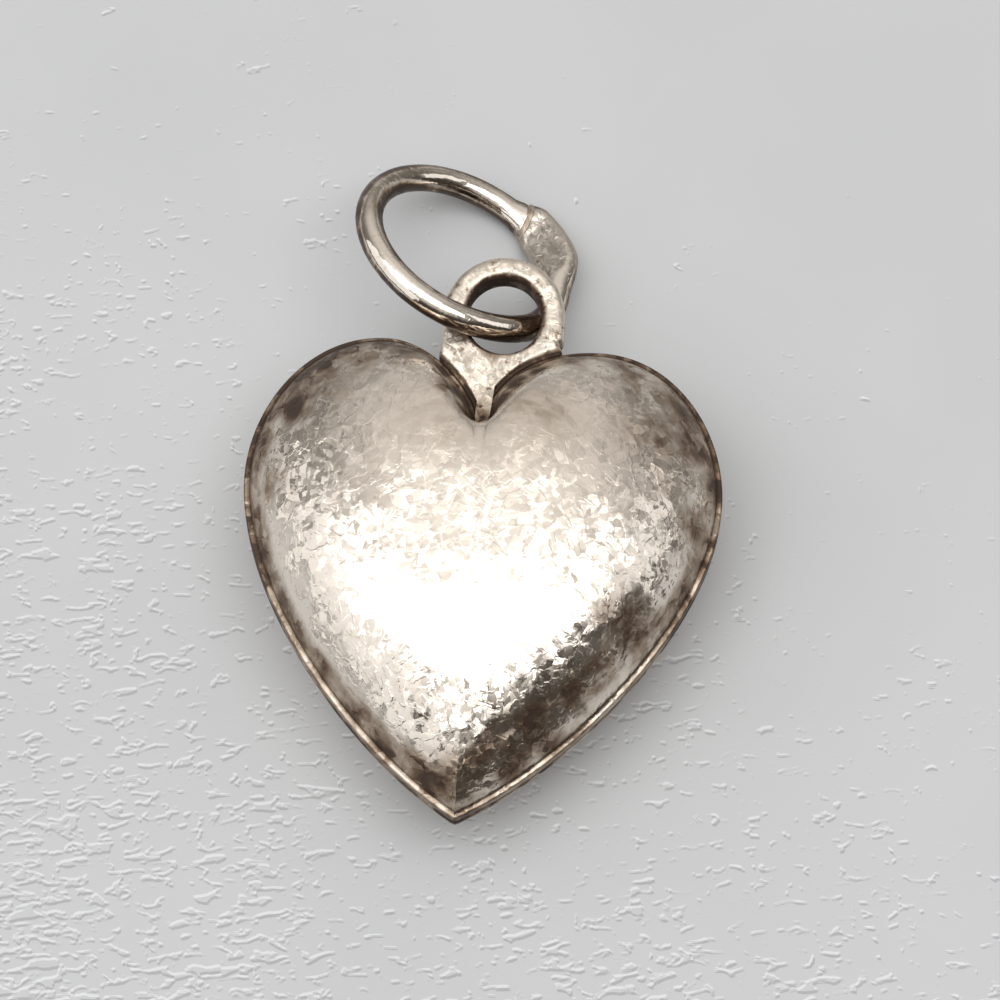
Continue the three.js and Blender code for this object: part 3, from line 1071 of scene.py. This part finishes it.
def cleft_solder():
    """A round bead along the gap, closed at both ends."""
    path = lifted(cleft_path(), BEAD_HEIGHT)
    turns = [2 * math.pi * k / BEAD_SIDES for k in range(BEAD_SIDES)]
    sections = []
    for i, point in enumerate(path):
        run = path[min(i + 1, len(path) - 1)] - path[max(i - 1, 0)]
        side = Vector((-run.y, run.x, 0)).normalized()
        sections.append(
            [point + BEAD_RADIUS * (math.cos(t) * side + Vector((0, 0, math.sin(t)))) for t in turns]
        )
    bead = knitted(sections)
    bead.close()
    bead.restart()
    bead.close()
    weathered_and_shaded(bead.mesh, lambda vert: BEAD_GRIME_AND_SHADE)
    return bead.mesh


solder = make_piece("cleft_solder", cleft_solder(), "heart", "eyelet_solder")

# %% [markdown]
# ## Jump ring
#
# The ring is round wire bent to a loop, and it lies aslant, with its wire through the eyelet and one
# side on the table. It is no longer flat: where it hangs in the eyelet, the wire is pulled up on one
# side and down on the other. The ring is modelled lying flat around the origin, where a spin is
# simple, and one matrix then puts it in its place.

# %% Jump ring
RING_RADIUS = 3.36
WIRE_RADIUS = 0.44
RING_CENTRE = Vector((-1.302, 10.485, 2.297))
RING_TILT = math.radians(35.1)
RING_HEADING = math.radians(45.6)
BEND_ANGLE = math.radians(-60)
BEND_SPREAD = math.radians(24.5)
BEND_HEIGHT = 0.27

ring_place = (
    Matrix.Translation(RING_CENTRE)
    @ Matrix.Rotation(RING_HEADING, 4, "Z")
    @ Matrix.Rotation(RING_TILT, 4, "Y")
)
into_ring = ring_place.to_3x3().inverted()
ring_upright = into_ring @ Vector((0, 0, 1))


def bend_at(angle):
    """How far the wire is lifted at an angle by the bend that it took in the eyelet."""
    away = math.remainder(angle - BEND_ANGLE, 2 * math.pi) / BEND_SPREAD
    return BEND_HEIGHT * away * math.exp((1 - away * away) / 2)


print("ring is", round(2 * (RING_RADIUS + WIRE_RADIUS), 2), "mm across")

# %% [markdown]
# One end of the wire was hammered to a flat paddle, and the other end is soldered onto it with a
# slanting joint. The paddle could be a piece of its own, but it is the same wire, so its sections
# are widened, flattened and turned, more and then less along the loop.

# %% Paddle
JOINT_ANGLE = math.radians(3)
JOINT_SCARF = math.radians(35)
SCARF_FADE = math.radians(24)
PADDLE_HALF_WIDTH = 0.76
PADDLE_HALF_THICKNESS = 0.32
PADDLE_SHIFT = 0.07
PADDLE_ROLL = math.radians(44)
PADDLE_START = math.radians(32)
PADDLE_END = math.radians(58)
LAPPED_FLATNESS = 0.3
LAPPED_END = math.radians(12)
SHOULDER_END = math.radians(9)
SHOULDER_FLATNESS = 0.5


def after_joint(angle):
    """The angle from the joint, which is negative on the side of the paddle."""
    return math.remainder(angle - JOINT_ANGLE, 2 * math.pi)


def flatness_at(from_joint):
    """How much the wire is flattened at an angle from its joint."""
    if from_joint > 0:
        return LAPPED_FLATNESS * (1 - smooth_share(from_joint, 0, LAPPED_END))
    shoulder = blend(SHOULDER_FLATNESS, 1, smooth_share(-from_joint, 0, SHOULDER_END))
    return shoulder * (1 - smooth_share(-from_joint, PADDLE_START, PADDLE_END))


def shaped(mesh):
    """Flattens, slants and bends a run of round wire, and keeps it above the table."""
    roll = Matrix.Rotation(PADDLE_ROLL, 2)
    for vert in mesh.verts:
        angle = math.atan2(vert.co.y, vert.co.x)
        from_joint = after_joint(angle)
        flat = flatness_at(from_joint)
        across = roll.transposed() @ Vector((vert.co.xy.length - RING_RADIUS, vert.co.z))
        across.x *= blend(1, PADDLE_HALF_WIDTH / WIRE_RADIUS, flat)
        level = blend(WIRE_RADIUS, PADDLE_HALF_THICKNESS, flat)
        across.y = min(level, max(-level, across.y))
        across.x += PADDLE_SHIFT * flat
        across = roll @ across
        scarf = (1 - smooth_share(abs(from_joint), 0, SCARF_FADE)) * math.tan(JOINT_SCARF)
        turned = angle + scarf * across.x / RING_RADIUS
        radius = RING_RADIUS + across.x
        place = Vector((radius * math.cos(turned), radius * math.sin(turned), across.y))
        vert.co = place + ring_upright * bend_at(turned)
        below = min(0, (ring_place @ vert.co).z)
        vert.co -= ring_upright * below


print("paddle is", 2 * PADDLE_HALF_WIDTH, "mm wide")

# %% [markdown]
# The sides of the wire that face away from up and from the viewer get painted shade in dark brown,
# and the side that faces them stays bright. The paddle has lost its polish under the hammer. It is
# marked by gloss below nothing, which the finish reads as matte.

# %% Wear and painted shade of the ring
DULL_ANGLE = math.radians(105)
DULL_SPREAD = math.radians(45)
DULL_SOIL = 0.2
# The sides of the wire that face away from up and from the viewer get painted shade.
WIRE_SIDE_SHADE = 1.3
LIT_WIRE_SIDE = Vector((0.05, -0.3, 0.95))
LIT_FACING = (0.46, 0.7)
lit_wire_side = into_ring @ LIT_WIRE_SIDE


def ring_soil_and_shade(vert):
    """Painted shade, dark brown, on the sides of the wire that face away from up and the viewer, and a
    dull stretch of the loop.
    """
    angle = math.atan2(vert.co.y, vert.co.x)
    dull = math.exp(-(((angle - DULL_ANGLE) / DULL_SPREAD) ** 2))
    side = WIRE_SIDE_SHADE * (1 - smooth_share(vert.normal.dot(lit_wire_side), *LIT_FACING))
    return max(side, DULL_SOIL * dull)


def paddle_gloss(vert):
    """Marks the matte paddle, as gloss below nothing."""
    from_joint = after_joint(math.atan2(vert.co.y, vert.co.x))
    return -flatness_at(from_joint) if from_joint < 0 else 0


print("dull stretch of the ring in degrees", round(math.degrees(2 * DULL_SPREAD)))

# %% [markdown]
# A circle is spun around the loop's axis to make a run of wire, and its open ends are filled. The
# ring is one long run with a narrow gap at the joint. The solder in the gap is a short run, a hair
# thicker, which is shaped by the same rules and so follows the wire on both sides.

# %% Ring pieces
RING_STEPS = 240
WIRE_SIDES = 32
JOINT_GAP = 0.14
JOINT_OVERLAP = 0.05
JOINT_PROUD = 1.004
JOINT_STEPS = 8
JOINT_SOIL = 0.3


def wire_run(start, sweep, steps, radius=WIRE_RADIUS):
    """A capped run of round wire around the ring, from one angle through a sweep."""
    mesh = bmesh.new()
    stand = (
        Matrix.Rotation(start, 4, "Z")
        @ Matrix.Translation((RING_RADIUS, 0, 0))
        @ Matrix.Rotation(math.pi / 2, 4, "X")
    )
    bmesh.ops.create_circle(mesh, segments=WIRE_SIDES, radius=radius, matrix=stand)
    bmesh.ops.spin(
        mesh, geom=mesh.verts[:] + mesh.edges[:], cent=(0, 0, 0), axis=(0, 0, 1),
        angle=sweep, steps=steps, use_merge=False,
    )
    bmesh.ops.holes_fill(mesh, edges=mesh.edges, sides=WIRE_SIDES)
    bmesh.ops.recalc_face_normals(mesh, faces=mesh.faces)
    shaped(mesh)
    mesh.normal_update()
    return mesh


half_gap = JOINT_GAP / 2 / RING_RADIUS
ring_mesh = wire_run(JOINT_ANGLE + half_gap, 2 * math.pi - 2 * half_gap, RING_STEPS)
weathered_and_shaded(ring_mesh, ring_soil_and_shade, paddle_gloss)
ring = make_piece("ring_wire", ring_mesh, "ring", "jump_ring", ring_place)
half_joint = (JOINT_GAP / 2 + JOINT_OVERLAP) / RING_RADIUS
joint_mesh = wire_run(
    JOINT_ANGLE - half_joint, 2 * half_joint, JOINT_STEPS, WIRE_RADIUS * JOINT_PROUD
)
weathered_and_shaded(joint_mesh, lambda vert: JOINT_SOIL)
joint = make_piece("ring_joint", joint_mesh, "ring", "ring_solder", ring_place)

# %% [markdown]
# ## Worn silver
#
# Silver is a warm white metal, and almost all of its look is reflection. Years of wear cover it
# with short strokes and nicks, and each one tilts the reflection a little. A bump texture alone
# could do that, but its slopes are rounded. Here each cell of a Voronoi texture turns the normal by
# its own random amount, so the metal breaks up into small flat shards. The cells are stretched to
# strokes. Noise on the coordinates makes their edges ragged, and larger cells turn them another way
# in each patch of the metal.

# %% Shards
SHARD_STRETCH = 2.4
GRAIN_WIDTH = 0.3
GRAIN_DETAIL = 3
RAGGED = Vector((1, 1, 1)) * 0.18 * MM
PATCH_WIDTH = 0.8
EVEN_GREY = (0.5, 0.5, 0.5)


def clouds(tree, coords, width, detail=4.0):
    """Noise whose clouds are about the given width in millimetres."""
    return add_node(
        tree, "TexNoise", {"Scale": 1 / (width * MM), "Detail": detail}, {"Vector": coords}
    )


def patch_coords(tree, coords):
    """Coordinates with ragged noise that are turned another way in each patch of the metal."""
    grain = clouds(tree, coords, GRAIN_WIDTH, GRAIN_DETAIL).outputs["Color"]
    ragged = combine(tree, "MULTIPLY_ADD", grain, RAGGED, coords)
    patches = add_node(tree, "TexVoronoi", {"Scale": 1 / (PATCH_WIDTH * MM)}, {"Vector": ragged})
    angle = calc(tree, "MULTIPLY", patches.outputs["Color"], 2 * math.pi)
    return add_node(
        tree, "VectorRotate", links={"Vector": ragged, "Angle": angle}, rotation_type="Z_AXIS"
    ).outputs["Vector"]


def shards(tree, coords, width, turn):
    """A random vector for every shard of the given width in millimetres."""
    cells = add_node(
        tree, "TexVoronoi", {"Scale": 1 / (width * MM)},
        {"Vector": stretched(tree, coords, turn, SHARD_STRETCH)}, distance="MANHATTAN",
    )
    return combine(tree, "SUBTRACT", cells.outputs["Color"], EVEN_GREY)


print("shards are", SHARD_STRETCH, "times as long as wide, in patches of", PATCH_WIDTH, "mm")

# %% [markdown]
# Two layers of shards, coarse and fine, tilt the normal. Fine raised strokes are then laid over them
# as a bump from stretched noise, cut off sharply so that their edges stay crisp.

# %% Tilt and strokes
COARSE_TURN = 0.5
FINE_TURN = -0.9
STROKE_WIDTH = 0.27
STROKE_STRETCH = 2.8
STROKE_DETAIL = 2
STROKE_DEPTH = 0.012
STROKE_CUT = (0.5, 0.6)


def tilted(tree, coarse, fine, amount):
    """The surface's normal, tilted by two layers of shards."""
    push = scaled(tree, combine(tree, "ADD", coarse, fine), amount)
    normal = add_node(tree, "NewGeometry").outputs["Normal"]
    return combine(tree, "NORMALIZE", combine(tree, "ADD", normal, push))


def scratched(tree, turned, normal, strength):
    """Fine raised strokes from stretched noise."""
    strokes = stretched(tree, turned, COARSE_TURN, STROKE_STRETCH)
    shapes = clouds(tree, strokes, STROKE_WIDTH, STROKE_DETAIL).outputs["Fac"]
    height = between(tree, shapes, *STROKE_CUT)
    return add_node(
        tree, "Bump", {"Distance": STROKE_DEPTH * MM},
        {"Height": height, "Normal": normal, "Strength": strength},
    ).outputs["Normal"]


print("strokes are", STROKE_WIDTH, "mm wide and", STROKE_DEPTH, "mm deep")

# %% [markdown]
# The soil that is stored in the mesh, tarnish together with painted shade, is smooth, and real tarnish
# isn't. Three patterns break it up: broad clouds, streaks that run along the contours, because reach
# sets one of their coordinates, and the flakes of the shards. A few dark specks are added where a
# finish asks for them.

# %% Soil and painted shade on the metal
UNEVEN_CLOUD = (0.35, 0.65)
UNEVEN_SOIL = (0.75, 1.15)
STREAK_REACH = 7.0
STREAK_LENGTH = (0.3, 0.3, 0.3)
STREAK_WIDTH = 0.32
STREAK_CLOUD = (0.36, 0.64)
STREAK_SOIL = (0.65, 1.35)
FLAKE_CONTRAST = Vector((0.6, 0, 0))
SPECK_WIDTH = 0.22
SPECK_DETAIL = 2
SPECK_CLOUD = (0.58, 0.72)


def attribute(tree, name):
    """A number that is stored in the mesh."""
    return add_node(tree, "Attribute", attribute_name=name).outputs["Fac"]


def silver_dirt_and_shade(tree, coords, patchy, coarse, specks):
    """How much soil and painted shade there is at each place, broken up to streaks, flakes and specks.
    """
    outwards = calc(tree, "MULTIPLY", attribute(tree, "reach"), STREAK_REACH * MM)
    outwards = add_node(tree, "CombineXYZ", links={"Z": outwards}).outputs["Vector"]
    lengthened = combine(tree, "MULTIPLY_ADD", coords, STREAK_LENGTH, outwards)
    streaks = clouds(tree, lengthened, STREAK_WIDTH).outputs["Fac"]
    uneven = between(tree, patchy, *UNEVEN_CLOUD, *UNEVEN_SOIL)
    streaky = between(tree, streaks, *STREAK_CLOUD, *STREAK_SOIL)
    mottled = calc(tree, "MULTIPLY", uneven, streaky)
    flake = along(tree, coarse, FLAKE_CONTRAST)
    flaked = calc(tree, "MULTIPLY_ADD", mottled, flake, mottled)
    broken = calc(tree, "MULTIPLY", attribute(tree, "soil_and_shade"), flaked)
    specky = clouds(tree, coords, SPECK_WIDTH, SPECK_DETAIL).outputs["Fac"]
    return calc(tree, "ADD", broken, between(tree, specky, *SPECK_CLOUD, 0.0, specks))


print("streaks are", STREAK_WIDTH, "mm wide and specks", SPECK_WIDTH, "mm")

# %% [markdown]
# How far the shards and strokes show depends on the place. The crown is worn smoother than the rim,
# gloss calms them, and the matte paddle, with its marks from the hammer, has the most.

# %% Wear on the metal
CROWN_WEAR = 0.7
RIM_WEAR = 1.45
CROWN_TO_RIM = (0.5, 0.9)
GLOSS_WEAR = 0.75
FULL_GLOSS = 0.8
MATTE_WEAR = 4.6


def wear_amount(tree, gloss, matte):
    """How battered the metal is at each place."""
    battered = between(tree, attribute(tree, "reach"), *CROWN_TO_RIM, CROWN_WEAR, RIM_WEAR)
    calmed = between(tree, gloss, 0.0, FULL_GLOSS, 1.0, GLOSS_WEAR)
    wear = calc(tree, "MULTIPLY", battered, calmed)
    return calc(tree, "MULTIPLY_ADD", matte, MATTE_WEAR, wear)


print("wear runs from", CROWN_WEAR, "on the crown to", RIM_WEAR, "at the rim")

# %% [markdown]
# One recipe serves every piece. Its settings are the roughness, the widths of the two layers of
# shards, how far they tilt, how strong the strokes are, the colour of the clean metal and how many
# specks it has. Soil and painted shade darken the metal through brown to almost black, and where they
# are thickest they hide the metal. Gloss below nothing makes the metal matte.

# %% Silver recipe
SILVER = (0.93, 0.85, 0.76)
BROWN = (0.47, 0.385, 0.305)
UMBER = (0.22, 0.15, 0.105)
# The darkest stop is both grime and painted shade.
GRIME_AND_SHADE = (0.07, 0.044, 0.03)
BROWN_AT = 0.4
UMBER_AT = 0.72
GRIME_AND_SHADE_METAL = 0.45
GRIME_AND_SHADE_COVER = (0.6, 1.2)
DIRT_AND_SHADE_ROUGHNESS = 0.2
PATCHY_WIDTH = 0.9
PATCHY_DETAIL = 6
PATCHY_CLOUD = (0.3, 0.7)
PATCHY_ROUGHNESS = (0.85, 1.15)
MATTE = (0.62, 0.56, 0.49)
MATTE_SHARE = 0.7
MATTE_ROUGHNESS = 0.2


def silver_finish(name, roughness, widths, tilt, strokes, clean=SILVER, specks=0.0):
    """A worn silver material."""
    material, tree, shader = new_finish(name)
    coords = add_node(tree, "TexCoord").outputs["Object"]
    turned = patch_coords(tree, coords)
    coarse = shards(tree, turned, widths[0], COARSE_TURN)
    fine = shards(tree, turned, widths[1], FINE_TURN)
    gloss = attribute(tree, "gloss")
    matte = between(tree, gloss, 0.0, -1.0)
    wear = wear_amount(tree, gloss, matte)
    normal = tilted(tree, coarse, fine, calc(tree, "MULTIPLY", wear, tilt))
    normal = scratched(tree, turned, normal, calc(tree, "MULTIPLY", wear, strokes))
    patchy = clouds(tree, coords, PATCHY_WIDTH, PATCHY_DETAIL).outputs["Fac"]
    dirt_and_shade = silver_dirt_and_shade(tree, coords, patchy, coarse, specks)
    stops = [(0.0, clean), (BROWN_AT, BROWN), (UMBER_AT, UMBER), (1.0, GRIME_AND_SHADE)]
    colour = mixed(
        tree, calc(tree, "MULTIPLY", matte, MATTE_SHARE), add_ramp(tree, dirt_and_shade, stops), MATTE
    )
    smoother, rougher = (roughness * share for share in PATCHY_ROUGHNESS)
    varied = between(tree, patchy, *PATCHY_CLOUD, smoother, rougher)
    varied = calc(tree, "MULTIPLY_ADD", matte, MATTE_ROUGHNESS, varied)
    varied = calc(tree, "MULTIPLY_ADD", dirt_and_shade, DIRT_AND_SHADE_ROUGHNESS, varied)
    tree.links.new(colour, shader.inputs["Base Color"])
    tree.links.new(normal, shader.inputs["Normal"])
    tree.links.new(between(tree, dirt_and_shade, *GRIME_AND_SHADE_COVER, 1.0, GRIME_AND_SHADE_METAL), shader.inputs["Metallic"])
    tree.links.new(varied, shader.inputs["Roughness"])
    print(name, "has", len(tree.nodes), "nodes")
    return material


# %% [markdown]
# ## Dressing
#
# The heart is satin with large shards. The eyelet is creamier and duller, with more specks. The wire
# keeps the best polish. Solder is dull, and three pieces share its finish.

# %% Dressing
CREAM = (0.76, 0.685, 0.595)

heart_silver = silver_finish(
    "heart_silver", roughness=0.25, widths=(0.4, 0.17), tilt=0.15, strokes=0.45
)
eyelet_silver = silver_finish(
    "eyelet_silver", roughness=0.4, widths=(0.2, 0.11), tilt=0.12, strokes=0.3, clean=CREAM, specks=0.55
)
wire_silver = silver_finish(
    "wire_silver", roughness=0.1, widths=(0.3, 0.14), tilt=0.05, strokes=0.2, specks=0.1
)
dull_solder = silver_finish(
    "dull_solder", roughness=0.45, widths=(0.2, 0.12), tilt=0.12, strokes=0.2, clean=CREAM, specks=0.3
)
finishes = {
    heart_silver: [front, back],
    eyelet_silver: [eyelet],
    wire_silver: [ring],
    dull_solder: [seam, solder, joint],
}
for finish, pieces in finishes.items():
    for piece in pieces:
        piece.data.materials.clear()
        piece.data.materials.append(finish)
    print(finish.name, "on", [piece.name for piece in pieces])
